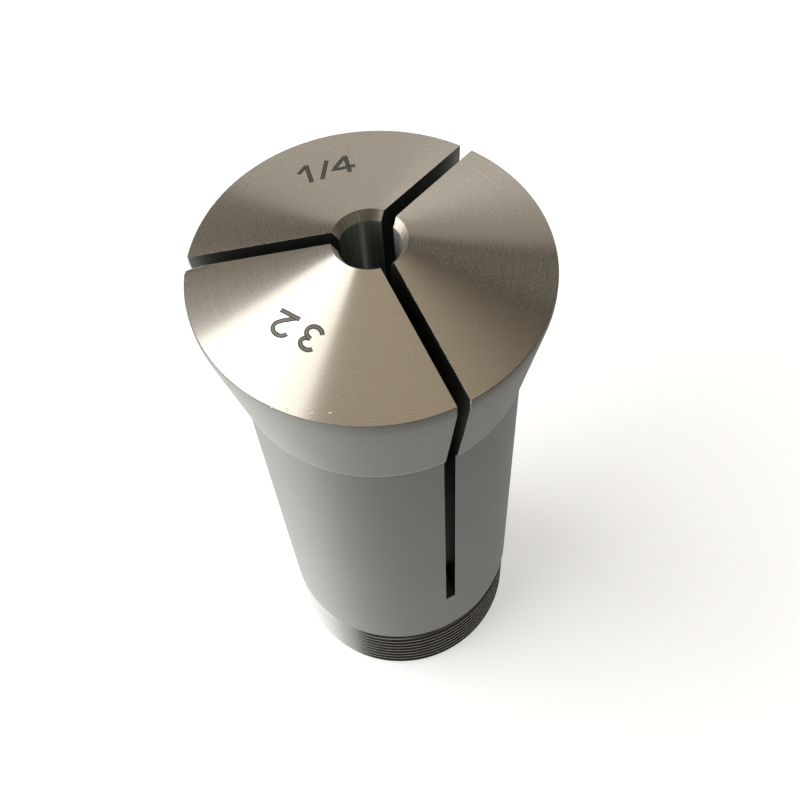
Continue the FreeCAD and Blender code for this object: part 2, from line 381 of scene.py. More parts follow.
key_reach = KEY_HALF * np.where(is_key, step, 1)
key_end = KEY_ROUND_Z + np.sqrt(KEY_HALF ** 2 - key_reach ** 2)
middle = np.stack([np.full(COLUMNS, outer_edge[0]), key_end])
add_rows(np.full((2, 1), SHANK_RADIUS), middle, KEYED, SHANK, in_keyway=True)

floor_reach = KEY_HALF * key_step
end_angles = np.stack([np.arcsin(floor_reach / SHANK_RADIUS), np.arctan(floor_reach / KEY_FLOOR)])
end_radius = np.stack([np.full(KEY_COLUMNS + 1, SHANK_RADIUS), np.hypot(KEY_FLOOR, floor_reach)])
add_block(spread(end_radius, end_angles, key_end[:KEY_COLUMNS + 1]), MILLED, halves=KEYED_HALVES)

high_rows = np.linspace(key_end[0] + BEND_ROOM, SHANK_TOP_Z, HIGH_ROWS)
high = np.concatenate([key_end[None], high_rows[:, None] + np.zeros(COLUMNS)])
fade_key = np.concatenate([[[1.0]], np.zeros((HIGH_ROWS, 1))])
add_rows(np.full((HIGH_ROWS + 1, 1), SHANK_RADIUS), high, fade_key, SHANK)
print(len(blocks), "surfaces up to the top of the shank")

# %% [markdown]
# ## The head and the bore
# The head flares out to the land and closes over the nose to the mouth of the bore. The rim of a used
# collet is never perfect: one jaw has a corner worn round, and beside it the wear dies out. The rows of the
# head are therefore pulled in at that corner, more and more from the foot of the taper to the rim, which is
# simpler than a bevel of one corner and leaves the grid whole.

# %% Head, nose and bore
WORN_HALF = 4
CORNER_WEAR = 0.7
WEAR_BESIDE = 0.094


def worn(radius, height):
    """Radius and height, with the radius less at one corner of a jaw, where it is worn round: nothing at
    the foot of the taper, and the whole wear at the rim."""
    wear = np.zeros((HALF_JAWS, 1, COLUMNS))
    wear[WORN_HALF, 0, WALL] = CORNER_WEAR
    wear[WORN_HALF, 0, WALL - 1] = WEAR_BESIDE
    rise = np.where(height > RIM_Z, 0, (height - TAPER_Z) / (RIM_Z - TAPER_Z))
    return radius - wear * rise, height


shoulder = run((SHANK_RADIUS, SHANK_TOP_Z), (TAPER_RADIUS, TAPER_Z), count=1)
taper = run((TAPER_RADIUS, TAPER_Z), (HEAD_RADIUS, LAND_Z), count=4)
land = run((HEAD_RADIUS, LAND_Z), (HEAD_RADIUS, RIM_Z), count=1)
nose = run((HEAD_RADIUS, RIM_Z), (MOUTH_RADIUS, OVERALL_LENGTH), count=8)
mouth = run((MOUTH_RADIUS, OVERALL_LENGTH), (BORE_RADIUS, MOUTH_Z), count=1)
bore = run((BORE_RADIUS, MOUTH_Z), (BORE_RADIUS, BORE_Z), count=6)
throat = run((BORE_RADIUS, BORE_Z), (HOLLOW_RADIUS, THROAT_Z), count=5)
add_rows(*shoulder, PLAIN, SHANK)
add_rows(*worn(*taper), PLAIN, HEAD)
add_rows(*worn(*land), PLAIN, HEAD)
add_rows(*worn(*nose), PLAIN, NOSE)
add_rows(*mouth, PLAIN, MOUTH)
add_rows(*bore, PLAIN, BORE)
add_rows(*throat, PLAIN, INSIDE)
print(len(blocks), "surfaces with the head and the bore")

# %% Hollow and inner thread
UPPER_ROWS = 5
LOWER_ROWS = 4

upper = np.linspace(THROAT_Z, inner_edge[0], UPPER_ROWS)[:, None] + np.zeros(COLUMNS)
upper[-1] = inner_edge
add_rows(np.full((UPPER_ROWS, 1), HOLLOW_RADIUS), upper, PLAIN, INSIDE)
lower = np.linspace(inner_edge[0], STOP_LENGTH, LOWER_ROWS)[:, None] + np.zeros(COLUMNS)
lower[0] = inner_edge
add_rows(np.full((LOWER_ROWS, 1), HOLLOW_RADIUS), lower, PLAIN, INSIDE, bridged=True)
stop_step = run((HOLLOW_RADIUS, STOP_LENGTH), (STOP_RADIUS, STOP_LENGTH), count=1)
add_rows(*stop_step, PLAIN, INSIDE, bridged=True)
inner_thread = threaded(0.0, STOP_LENGTH, STOP_PITCH, STOP_DEPTH, stop_section, PLAIN)
add_rows(*inner_thread, PLAIN, INSIDE, bridged=True)
print(len(blocks), "surfaces with the hollow and its thread")

# %% Floor of each saw cut
ARC_ROWS = 6
half_widths = SLIT_HALF * wall_step
outer_reach = np.sqrt(SHANK_RADIUS ** 2 - half_widths ** 2)
inner_reach = np.sqrt(HOLLOW_RADIUS ** 2 - half_widths ** 2)
reach = np.linspace(outer_reach, inner_reach, ARC_ROWS + 1)
floor_angles = SECTOR - np.arctan(half_widths / reach)
add_block(spread(np.hypot(reach, half_widths), floor_angles, saw_height(reach)), SAW_END)
print(f"{len(blocks)} surfaces laid")

# %% [markdown]
# ## Closing the body
# Merging the shared border points leaves seven flat openings: two walls for each saw cut, and the floor of
# the keyway. Each is filled with one flat face. The faces are then turned to point outwards.

# %% Make the mesh
MERGE = 0.0005


def join_blocks():
    """All blocks in one mesh, in metres, with a finish number on each face."""
    counts = np.cumsum([0] + [len(points) for points, _, _ in blocks])
    points = np.concatenate([block[0] for block in blocks]) * MM
    quads = np.concatenate([block[1] + first for block, first in zip(blocks, counts)])
    finish_numbers = np.concatenate([np.full(len(block[1]), block[2]) for block in blocks])
    mesh = bpy.data.meshes.new("collet_body")
    mesh.from_pydata(points, [], quads)
    mesh.polygons.foreach_set("material_index", finish_numbers.astype(np.int32))
    return mesh


def close_up(mesh):
    """Merge border points, fill the flat openings and point all faces outwards."""
    shell = bmesh.new()
    shell.from_mesh(mesh)
    bmesh.ops.remove_doubles(shell, verts=shell.verts, dist=MERGE * MM)
    open_edges = [edge for edge in shell.edges if len(edge.link_faces) == 1]
    filled = bmesh.ops.holes_fill(shell, edges=open_edges, sides=0)["faces"]
    for face in filled:
        face.material_index = MILLED if face.calc_center_bounds().z < SLIT_END_Z * MM else SAWN
    bmesh.ops.recalc_face_normals(shell, faces=shell.faces)
    loose = sum(1 for edge in shell.edges if len(edge.link_faces) != 2)
    print(f"{len(filled)} flat faces filled, {loose} edges without two faces")
    print(f"volume {shell.calc_volume() / MM ** 3:.0f} mm3")
    shell.to_mesh(mesh)
    shell.free()
    mesh.shade_smooth()
    return mesh


body_mesh = close_up(join_blocks())
collet_body = bpy.data.objects.new("collet_body", body_mesh)
bpy.context.scene.collection.objects.link(collet_body)
print(f"{len(body_mesh.vertices)} points, {len(body_mesh.polygons)} faces")

# %% [markdown]
# ## Edges
# Ground and sawn edges are never knife sharp: a light touch with a stone leaves a narrow break that catches
# the light. A Bevel modifier makes it, on outside corners only, and the thread is left alone. Each edge has
# its own share of the width: all of it down the land beside the cuts, most of it at the foot of the taper,
# half of it round the rim, and a hair along the rest.
# Corners of more than a few degrees are also marked sharp, so that each surface shades as its own, while the
# slight bend from taper to land stays soft.

# %% Find the corners
BREAK_WIDTH = 0.22
RIM_BREAK = 0.5
FOOT_BREAK = 0.8
FINE_BREAK = 0.12
BREAK_FROM = math.radians(28)
SHARP_FROM = math.radians(15)
SHARP_THREAD = math.radians(25)
TO_WALL_MIDDLE = 1.5
NEAR = 0.1


def read(collection, name, width, kind=np.float32):
    """One property of every item as an array, with the given number of values each."""
    values = np.zeros(len(collection) * width, kind)
    collection.foreach_get(name, values)
    return values.reshape(-1, width) if width > 1 else values


def corner_angles(mesh):
    """For each edge the angle between the normals of its two faces, and whether the corner stands out:
    it does where the second face's middle lies behind the plane of the first."""
    owner = np.repeat(np.arange(len(mesh.polygons)), read(mesh.polygons, "loop_total", 1, np.int32))
    order = np.argsort(read(mesh.loops, "edge_index", 1, np.int32), kind="stable")
    pairs = owner[order].reshape(-1, 2)
    normals = read(mesh.polygons, "normal", 3)[pairs]
    middles = read(mesh.polygons, "center", 3)[pairs]
    angle = np.arccos(np.clip((normals[:, 0] * normals[:, 1]).sum(1), -1, 1))
    stands_out = ((middles[:, 1] - middles[:, 0]) * normals[:, 0]).sum(1) < 0
    return angle, stands_out


corner, stands_out = corner_angles(body_mesh)
edge_points = read(body_mesh.vertices, "co", 3)[read(body_mesh.edges, "vertices", 2, np.int32)]
edge_z = edge_points[:, :, 2].mean(1) / MM
edge_radius = np.hypot(edge_points[:, :, 0], edge_points[:, :, 1]).mean(1) / MM
thread_top = np.where(edge_radius > HOLLOW_RADIUS + TO_WALL_MIDDLE, GROOVE_Z, STOP_LENGTH)
on_thread = edge_z < thread_top + MERGE
broken = (corner > BREAK_FROM) & stands_out & ~on_thread
at_head = edge_radius > HEAD_RADIUS - NEAR
on_land = (edge_z > LAND_Z + MERGE) & (edge_z < RIM_Z - MERGE) & at_head
on_rim = (np.abs(edge_z - RIM_Z) < MERGE) & at_head
on_foot = (np.abs(edge_z - TAPER_Z) < MERGE) & (edge_radius > TAPER_RADIUS - NEAR)
share = np.select([on_land, on_rim, on_foot], [1, RIM_BREAK, FOOT_BREAK], FINE_BREAK)
break_share = broken * share
sharp = corner > np.where(on_thread, SHARP_THREAD, SHARP_FROM)

weight = body_mesh.attributes.new("bevel_weight_edge", "FLOAT", "EDGE")
weight.data.foreach_set("value", break_share.astype(np.float32))
crisp = body_mesh.attributes.new("sharp_edge", "BOOLEAN", "EDGE")
crisp.data.foreach_set("value", sharp)

edge_break = collet_body.modifiers.new("edge_break", "BEVEL")
edge_break.limit_method = "WEIGHT"
edge_break.width = BREAK_WIDTH * MM
edge_break.segments = 2
edge_break.use_clamp_overlap = False
edge_break.harden_normals = True
edge_break.material = HEAD
print(f"{broken.sum()} edges broken, {sharp.sum()} edges sharp")

# %% [markdown]
# ## Finishes
# Turned and ground steel is covered in fine parallel lines, which spread a reflection across the lines.
# The shader's anisotropy does the spreading and takes the direction across the lines as its tangent:
# outwards from the axis on the nose, along the axis on the shank and taper.
# One group draws the lines for every finish: as a height for a bump, as a slight change of shade, and as a
# few stray hairs that change the gloss.

# %% Node helpers


def link(tree, source, target):
    """Connect two sockets, the output first."""
    tree.links.new(source, target)


def math_node(tree, operation, first, second=0.0, third=0.0):
    """A Math node with numbers or sockets as inputs. Returns its output."""
    node = tree.nodes.new("ShaderNodeMath")
    node.operation = operation
    for socket, value in zip(node.inputs, (first, second, third)):
        if isinstance(value, (int, float)):
            socket.default_value = value
        else:
            link(tree, value, socket)
    return node.outputs[0]


def new_group(name, inputs, outputs):
    """An empty shader group with float sockets. Returns the tree and its input and output nodes."""
    tree = bpy.data.node_groups.new(name, "ShaderNodeTree")
    for label, value in inputs:
        tree.interface.new_socket(label, in_out="INPUT", socket_type="NodeSocketFloat").default_value = value
    for label in outputs:
        tree.interface.new_socket(label, in_out="OUTPUT", socket_type="NodeSocketFloat")
    return tree, tree.nodes.new("NodeGroupInput"), tree.nodes.new("NodeGroupOutput")


def object_axes(tree):
    """The X, Y and Z of a point on the piece, in metres, as three outputs."""
    coordinates = tree.nodes.new("ShaderNodeTexCoord")
    split = tree.nodes.new("ShaderNodeSeparateXYZ")
    link(tree, coordinates.outputs["Object"], split.inputs[0])
    return split.outputs


def line_noise(tree, across, lines_a_mm, detail=0.0):
    """Noise along one line, from -1 to 1, with the given number of lines a millimetre."""
    noise = tree.nodes.new("ShaderNodeTexNoise")
    noise.noise_dimensions = "1D"
    noise.inputs["Scale"].default_value = 1.0
    noise.inputs["Detail"].default_value = detail
    link(tree, math_node(tree, "MULTIPLY", across, lines_a_mm), noise.inputs["W"])
    return math_node(tree, "MULTIPLY_ADD", noise.outputs["Fac"], 2.0, -1.0)


print("helpers ready for node trees")

# %% Tool line group
COARSE_LINES = 1.7
MIDDLING_LINES = 6.5
FINE_LINES = 21.0
HAIR_LINES = 5.0
COARSE_PART = 0.3
MIDDLING_PART = 0.8
FINE_PART = 0.28


def make_tool_lines():
    """Height, shade and hair of lathe and grinding lines from the distance across them, in millimetres.

    Height is a sum of three bands of noise, coarse, middling and fine. Shade is the coarse band alone.
    Hair picks a few stray lines: it is the square of a band's positive part.
    """
    tree, inside, outside = new_group("tool_lines", [("Across", 0.0)], ["Height", "Shade", "Hair"])
    across = inside.outputs["Across"]
    coarse = line_noise(tree, across, COARSE_LINES, 1.0)
    middling = line_noise(tree, across, MIDDLING_LINES)
    fine = line_noise(tree, across, FINE_LINES)
    height = math_node(tree, "MULTIPLY", middling, MIDDLING_PART)
    height = math_node(tree, "MULTIPLY_ADD", fine, FINE_PART, height)
    height = math_node(tree, "MULTIPLY_ADD", coarse, COARSE_PART, height)
    link(tree, height, outside.inputs["Height"])
    link(tree, coarse, outside.inputs["Shade"])
    hair = math_node(tree, "MAXIMUM", line_noise(tree, across, HAIR_LINES, 1.0), 0.0)
    link(tree, math_node(tree, "POWER", hair, 2.0), outside.inputs["Hair"])
    return tree


tool_lines = make_tool_lines()
print(f"{tool_lines.name}: {len(tool_lines.nodes)} nodes")

# %% [markdown]
# ## Handling and chatter
# Handled steel is never of one tone: hands leave faint smears and a fine dulling, which are soft noise in
# space. A countersink or reamer that shakes leaves marks side by side round its hole, so these are noise by
# the angle round the axis. Each is a group, because more than one finish uses it.

# %% Handling group
SMEAR_SCALE = 90.0
GRAIN_FINER = 22.0


def make_handling():
    """Smear and grain from handling: the same soft noise at a large and at a fine scale, from 0 to 1."""
    tree, inside, outside = new_group("handling", [("Scale", SMEAR_SCALE)], ["Smear", "Grain"])
    coordinates = tree.nodes.new("ShaderNodeTexCoord")
    for label, finer, detail in (("Smear", 1.0, 3.0), ("Grain", GRAIN_FINER, 2.0)):
        noise = tree.nodes.new("ShaderNodeTexNoise")
        noise.inputs["Detail"].default_value = detail
        link(tree, coordinates.outputs["Object"], noise.inputs["Vector"])
        link(tree, math_node(tree, "MULTIPLY", inside.outputs["Scale"], finer), noise.inputs["Scale"])
        link(tree, noise.outputs["Fac"], outside.inputs[label])
    return tree


handling = make_handling()
print(f"{handling.name}: {len(handling.nodes)} nodes")

# %% Chatter group


def make_chatter():
    """Marks of a countersink or reamer that shook: noise by the angle round the axis, from -1 to 1."""
    tree, inside, outside = new_group("chatter", [("Count", 10.0)], ["Wave"])
    axes = object_axes(tree)
    angle = math_node(tree, "ARCTAN2", axes["Y"], axes["X"])
    turn = math_node(tree, "MULTIPLY", angle, inside.outputs["Count"])
    link(tree, line_noise(tree, turn, 1.0, 2.0), outside.inputs["Wave"])
    return tree


chatter = make_chatter()
print(f"{chatter.name}: {len(chatter.nodes)} nodes")

# %% [markdown]
# ## One steel, many finishes
# The whole collet is one metal. What differs from surface to surface is the tool that made it, and the
# painted light and shade in some colours and fades, so one function makes every finish from its colour, its
# gloss and its lines. Numbers that are the same all over a surface are set on the shader's own sockets, and
# only what changes over it comes through nodes.

# %% Helpers of the steel


def group_node(tree, group, **values):
    """A group placed in a material, with some of its inputs set to numbers or sockets."""
    node = tree.nodes.new("ShaderNodeGroup")
    node.node_tree = group
    for label, value in values.items():
        if isinstance(value, (int, float)):
            node.inputs[label].default_value = value
        else:
            link(tree, value, node.inputs[label])
    return node


def across_lines(tree, across):
    """The direction across the tool lines, and the distance along it in millimetres."""
    axes = object_axes(tree)
    direction = tree.nodes.new("ShaderNodeCombineXYZ")
    if across == "height":
        direction.inputs["Z"].default_value = 1.0
        return direction.outputs[0], math_node(tree, "DIVIDE", axes["Z"], MM)
    link(tree, axes["X"], direction.inputs["X"])
    link(tree, axes["Y"], direction.inputs["Y"])
    length = tree.nodes.new("ShaderNodeVectorMath")
    length.operation = "LENGTH"
    link(tree, direction.outputs[0], length.inputs[0])
    unit = tree.nodes.new("ShaderNodeVectorMath")
    unit.operation = "NORMALIZE"
    link(tree, direction.outputs[0], unit.inputs[0])
    return unit.outputs[0], math_node(tree, "DIVIDE", length.outputs["Value"], MM)


def faded(tree, low, high, low_value, high_value):
    """A value that changes evenly between two heights in millimetres, and is held beyond them."""
    change = tree.nodes.new("ShaderNodeMapRange")
    link(tree, object_axes(tree)["Z"], change.inputs["Value"])
    for socket, value in zip(list(change.inputs)[1:5], (low * MM, high * MM, low_value, high_value)):
        socket.default_value = value
    return change.outputs["Result"]


print("helpers ready for the steel")

# %% Steel
SMEAR = 0.06
GRAIN = 0.02


def steel(name, colour, roughness, anisotropy, across, line_depth, shade=0.05, hair=0.0, shake=0.0,
          shake_count=10.0, fade=None, dulling=None, edge_tint=1.0):
    """A steel finish. across is "radius" where the lines run round a flat nose, and "height" where they run
    round a shaft. line_depth is their height in millimetres. shade darkens and lightens the lines, hair
    dulls stray ones, and shake adds chatter, with shake_count marks a radian. fade multiplies the tone by
    height, to paint light and shade, and dulling adds to the roughness: each is two heights in millimetres
    and the value at each. edge_tint is the metal's brightness at a grazing view."""
    material = bpy.data.materials.new(name)
    material.use_nodes = True
    tree = material.node_tree
    surface = tree.nodes["Principled BSDF"]
    surface.inputs["Metallic"].default_value = 1
    surface.inputs["Anisotropic"].default_value = anisotropy
    surface.inputs["Specular Tint"].default_value = (edge_tint, edge_tint, edge_tint, 1)

    direction, distance = across_lines(tree, across)
    link(tree, direction, surface.inputs["Tangent"])
    lines = group_node(tree, tool_lines, Across=distance)
    marks = group_node(tree, handling)
    bump = tree.nodes.new("ShaderNodeBump")
    bump.inputs["Strength"].default_value = 1.0
    bump.inputs["Distance"].default_value = line_depth * MM
    link(tree, lines.outputs["Height"], bump.inputs["Height"])
    link(tree, bump.outputs["Normal"], surface.inputs["Normal"])

    tone = math_node(tree, "MULTIPLY_ADD", lines.outputs["Shade"], shade, 1.0)
    if shake:
        wave = group_node(tree, chatter, Count=shake_count).outputs["Wave"]
        tone = math_node(tree, "MULTIPLY_ADD", wave, shake, tone)
    tone = math_node(tree, "MULTIPLY_ADD", marks.outputs["Smear"], -SMEAR, tone)
    # Painted light and shade: the tone changes with height.
    if fade:
        tone = math_node(tree, "MULTIPLY", tone, faded(tree, *fade))
    tint = tree.nodes.new("ShaderNodeVectorMath")
    tint.operation = "SCALE"
    tint.inputs[0].default_value = colour
    link(tree, tone, tint.inputs["Scale"])
    link(tree, tint.outputs[0], surface.inputs["Base Color"])

    rough = math_node(tree, "MULTIPLY_ADD", marks.outputs["Grain"], GRAIN, roughness - GRAIN / 2)
    rough = math_node(tree, "MULTIPLY_ADD", lines.outputs["Hair"], hair, rough)
    if dulling:
        rough = math_node(tree, "ADD", rough, faded(tree, *dulling))
    link(tree, rough, surface.inputs["Roughness"])
    return material


print("handling varies the tone by", SMEAR, "and the roughness by", GRAIN)

# %% [markdown]
# ## The finishes of the body
# The nose is turned bright, with lines so regular that it mirrors the room in fans. The taper and shank are
# ground to a grey satin; they and the thread are painted darker than the nose, as painted shade for the dim
# room and floor that they mirror, and on the shank the painted shade deepens towards the head. A painted
# highlight brightens the taper's foot, and its land is a little duller. The thread and the hollow are as the
# lathe left them, and the mouth and bore have chatter. The saw cuts carry painted shade: their walls darken
# deep down, the floor where each cut ends is almost black, and near the rim the walls keep their tone.

# %% Finishes of the body
NOSE_COLOUR = (0.62, 0.585, 0.53)
# The taper, shank and rear end are the nose's grey steel painted darker: painted shade for the dim room and
# floor they mirror.
SHADED_SHANK_COLOUR = (0.285, 0.287, 0.276)
SHADED_REAR_COLOUR = (0.215, 0.215, 0.209)
MOUTH_COLOUR = (0.52, 0.48, 0.42)
BORE_COLOUR = (0.34, 0.37, 0.345)
# Painted shade: the walls of the saw cuts are darker than steel, for the shade in the narrow cuts.
SHADED_SAWN_COLOUR = (0.15, 0.15, 0.137)
# Painted shade: the floor at the end of each cut is almost black, for the shade at the bottom of the cut.
SAW_END_PAINTED_SHADE = (0.03, 0.03, 0.028)
INSIDE_COLOUR = (0.28, 0.27, 0.25)
# Painted highlight: a bright band round the foot of the taper, for the light its corner catches.
FOOT_PAINTED_HIGHLIGHT = (TAPER_Z, TAPER_Z + 0.5, 1.55, 1.0)
LAND_DULLING = (77.2, 78.8, 0.0, 0.12)
# Painted shade: the shank's tone darkens towards the head, under its overhang.
SHANK_SHADE_UNDER_HEAD = (12, 66, 1.06, 0.86)
# Painted shade: the tone of the cut walls falls to a small share deep in the cuts and is whole near the rim.
CUT_PAINTED_SHADE = (64, 74, 0.12, 1.0)

finishes = {
    NOSE: steel("turned_nose", NOSE_COLOUR, 0.27, 1.0, "radius", 0.00004, shade=0.01, hair=0.07),
    HEAD: steel("ground_taper", SHADED_SHANK_COLOUR, 0.65, 0.7, "height", 0.0005, fade=FOOT_PAINTED_HIGHLIGHT,
                dulling=LAND_DULLING),
    SHANK: steel("ground_shank", SHADED_SHANK_COLOUR, 0.65, 0.7, "height", 0.0005, fade=SHANK_SHADE_UNDER_HEAD),
    REAR: steel("cut_thread", SHADED_REAR_COLOUR, 0.24, 0.3, "height", 0.0005),
    MOUTH: steel("countersunk_mouth", MOUTH_COLOUR, 0.495, 0.92, "height", 0.004, shade=0.1, shake=0.55,
                 shake_count=14.0),
    BORE: steel("bored_steel", BORE_COLOUR, 0.5, 0.6, "height", 0.0012, shake=0.55, shake_count=4.0,
                edge_tint=0.5),
    SAWN: steel("sawn_steel", SHADED_SAWN_COLOUR, 0.5, 0.4, "radius", 0.003, fade=CUT_PAINTED_SHADE, edge_tint=0.6),
    SAW_END: steel("painted_shade_cut_end", SAW_END_PAINTED_SHADE, 0.6, 0.0, "radius", 0.003, edge_tint=0.3),
    INSIDE: steel("bored_hollow", INSIDE_COLOUR, 0.5, 0.3, "height", 0.002),
    MILLED: steel("milled_keyway", INSIDE_COLOUR, 0.42, 0.3, "height", 0.002),
}
for number in range(len(finishes)):
    body_mesh.materials.append(finishes[number])
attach(collet_body, "root")
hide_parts("collet")
print(len(finishes), "finishes on the body")

# %% [markdown]
# ## Size marks
# Collets carry their bore size on the nose, etched a little dark. A mark is drawn as strokes: each stroke is
# a line of points in the mark's own plane, given a width, and laid on the cone as a closed ribbon that
# stands out by less than the thickness of paint. The rims of an etched stroke are darker than its middle,
# so the ribbon has two finishes. The nose gets the bore in inches and the shank in millimetres.
# Four tiny nicks at the edge of the nose are strokes too, with dark sides and a painted glint between.

# %% Strokes of the marks and the nicks
LINE_STEPS = 4
STROKE_WIDTH = 0.46
RIM_SHARE = 0.46
MARK_LIFT = 0.010
MARK_STEP = 0.003
MARK_SINK = 0.03
BORE_MARK_AT = math.radians(116)
SHANK_MARK_AT = math.radians(238)
NICKS_AT = math.radians(250)
NICK_WIDTH = 0.2


def arc(centre, radii, start, end, count=25):
    """Points on an ellipse between two angles in degrees."""
    angle = np.radians(np.linspace(start, end, count))
    return np.column_stack([centre[0] + radii[0] * np.cos(angle), centre[1] + radii[1] * np.sin(angle)])


def line(*corners):
    """Points along straight runs between the given corners."""
    corners = np.array(corners, float)
    pairs = zip(corners[:-1], corners[1:])
    runs = [np.linspace(first, last, LINE_STEPS + 1)[:-1] for first, last in pairs]
    return np.concatenate([*runs, corners[-1:]])


bore_strokes = [
    line((-2.63, 13.30), (-1.45, 14.25)),
    line((-1.40, 14.36), (-1.92, 11.10)),
    line((0.77, 13.98), (-0.80, 10.95)),
    line((2.80, 13.78), (2.17, 10.68)),
    line((2.72, 13.70), (0.72, 11.85), (3.10, 11.56)),
]
THREE_MIDDLE = (-1.22, 11.54)
TWO_MIDDLE = (1.92, 12.00)
two_bow = arc(TWO_MIDDLE, (0.86, 0.66), 165, -38)
shank_strokes = [
    arc((THREE_MIDDLE[0], 12.05), (0.74, 0.53), 160, -90),
    arc((THREE_MIDDLE[0], 10.90), (0.80, 0.62), 90, -160),
    np.concatenate([two_bow, line((2.30, 11.30), (1.05, 10.40))]),
    line((0.80, 10.44), (3.06, 10.44)),
]
nick_strokes = [
    line((2.00, 18.45), (2.22, 18.56)),
    line((0.58, 18.20), (0.76, 18.33)),
    line((-1.80, 17.82), (-1.58, 17.92)),
    line((-3.36, 17.30), (-3.12, 17.38)),
]
print(len(bore_strokes) + len(shank_strokes) + len(nick_strokes), "strokes")

# %% Lay strokes on the nose
ROUND = 6
SIDE_LOOKS = [0, 1, 0, 0, 0, 0]


def ribbon(path, width, lift):
    """Six points round each point of the path: four across the top and two under it.

    The width runs along the path's normal, which is its slope turned a quarter."""
    slope = np.gradient(path, axis=0)
    slope /= np.linalg.norm(slope, axis=1, keepdims=True)
    normal = np.column_stack([-slope[:, 1], slope[:, 0]])
    share = np.array([1, RIM_SHARE, -RIM_SHARE, -1, -1, 1]) * width / 2
    height = np.array([lift, lift, lift, lift, -MARK_SINK, -MARK_SINK])
    flat = path[:, None] + normal[:, None] * share[None, :, None]
    return np.concatenate([flat, np.broadcast_to(height[:, None], flat.shape[:2] + (1,))], axis=2)


def on_nose(points, middle):
    """Turn points from the mark's plane onto the cone: across runs clockwise, out runs from the axis, and
    the last value is the height over the surface."""
    across, out, lift = points[..., 0], points[..., 1], points[..., 2]
    x = out * math.cos(middle) + across * math.sin(middle)
    y = out * math.sin(middle) - across * math.cos(middle)
    z = OVERALL_LENGTH - (np.hypot(x, y) - MOUTH_RADIUS) * math.tan(FACE_ANGLE) + lift
    return np.stack([x, y, z], axis=-1) * MM


def make_marks(name, strokes, middle, width, looks):
    """All strokes of one mark as one mesh. The first look is for the rims of a stroke and the second for
    its middle. Later strokes lie a hair higher, so that crossings stay clean."""
    points, faces, face_looks, first = [], [], [], 0
    for order, path in enumerate(strokes):
        rows = len(path)
        points.append(on_nose(ribbon(path, width, MARK_LIFT + order * MARK_STEP), middle).reshape(-1, 3))
        number = first + np.arange(rows * ROUND).reshape(rows, ROUND)
        turned = np.roll(number, -1, axis=1)
        sides = np.stack([number[:-1], number[1:], turned[1:], turned[:-1]], axis=-1)
        faces += sides.reshape(-1, 4).tolist() + [number[0].tolist(), number[-1, ::-1].tolist()]
        face_looks += SIDE_LOOKS * (rows - 1) + [0, 0]
        first += rows * ROUND
    mesh = bpy.data.meshes.new(name)
    mesh.from_pydata(np.concatenate(points), [], faces)
    mesh.polygons.foreach_set("material_index", np.array(face_looks, np.int32))
    shell = bmesh.new()
    shell.from_mesh(mesh)
    bmesh.ops.recalc_face_normals(shell, faces=shell.faces)
    shell.to_mesh(mesh)
    shell.free()
    for look in looks:
        mesh.materials.append(look)
    mark = bpy.data.objects.new(name, mesh)
    bpy.context.scene.collection.objects.link(mark)
    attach(mark, "root")
    print(f"{name}: {len(mesh.polygons)} faces")


print(ROUND, "points round a stroke")

# %% Marks and nicks
ETCH_DARK = (0.075, 0.072, 0.066)
ETCH_PALE = (0.16, 0.155, 0.14)
NICK_DARK = (0.30, 0.28, 0.25)
# Painted glint: the middle of a nick is paler than any steel here, for the light that a dent catches.
NICK_GLINT = (0.95, 0.92, 0.87)

etched_rim = steel("etched_rim", ETCH_DARK, 0.55, 0.3, "radius", 0.002)
etched_middle = steel("etched_middle", ETCH_PALE, 0.55, 0.3, "radius", 0.002)
nick_rim = steel("nick_rim", NICK_DARK, 0.5, 0.0, "radius", 0.002)
nick_glint = steel("nick_glint", NICK_GLINT, 0.5, 0.0, "radius", 0.002)
make_marks("bore_mark", bore_strokes, BORE_MARK_AT, STROKE_WIDTH, (etched_rim, etched_middle))
make_marks("shank_mark", shank_strokes, SHANK_MARK_AT, STROKE_WIDTH, (etched_rim, etched_middle))
make_marks("rim_nicks", nick_strokes, NICKS_AT, NICK_WIDTH, (nick_rim, nick_glint))

# %% [markdown]
# ## Floor
# The floor is a plain pale sheet of matt paint. It glows a little, but only for the camera and in
# reflections, so that it looks white while no light is added to the metal, and it keeps the collet's shadow.

# %% Floor
FLOOR_HALF = 3.0
FLOOR_COLOUR = (0.72, 0.72, 0.72)
FLOOR_ROUGHNESS = 0.9
FLOOR_SHINE = 0.1
FLOOR_GLOW = 0.50


def make_floor():
    """A flat square under the rear face, whose glow is one factor times the sum of three ray masks."""
    corners = np.array([[-1, -1, 0], [1, -1, 0], [1, 1, 0], [-1, 1, 0]]) * FLOOR_HALF
    mesh = bpy.data.meshes.new("floor")
    mesh.from_pydata(corners, [], [(0, 1, 2, 3)])
    material = bpy.data.materials.new("pale_floor")
    material.use_nodes = True
    tree = material.node_tree
    surface = tree.nodes["Principled BSDF"]
    surface.inputs["Roughness"].default_value = FLOOR_ROUGHNESS
    surface.inputs["Specular IOR Level"].default_value = FLOOR_SHINE
    surface.inputs["Base Color"].default_value = (*FLOOR_COLOUR, 1)
    surface.inputs["Emission Color"].default_value = (1, 1, 1, 1)
    path = tree.nodes.new("ShaderNodeLightPath")
    seen = math_node(tree, "ADD", path.outputs["Is Camera Ray"], path.outputs["Is Glossy Ray"])
    seen = math_node(tree, "ADD", seen, path.outputs["Is Transmission Ray"])
    link(tree, math_node(tree, "MULTIPLY", seen, FLOOR_GLOW), surface.inputs["Emission Strength"])
    mesh.materials.append(material)
    floor = bpy.data.objects.new("floor", mesh)
    bpy.context.scene.collection.objects.link(floor)


make_floor()
print(f"floor {2 * FLOOR_HALF:.0f} m wide")

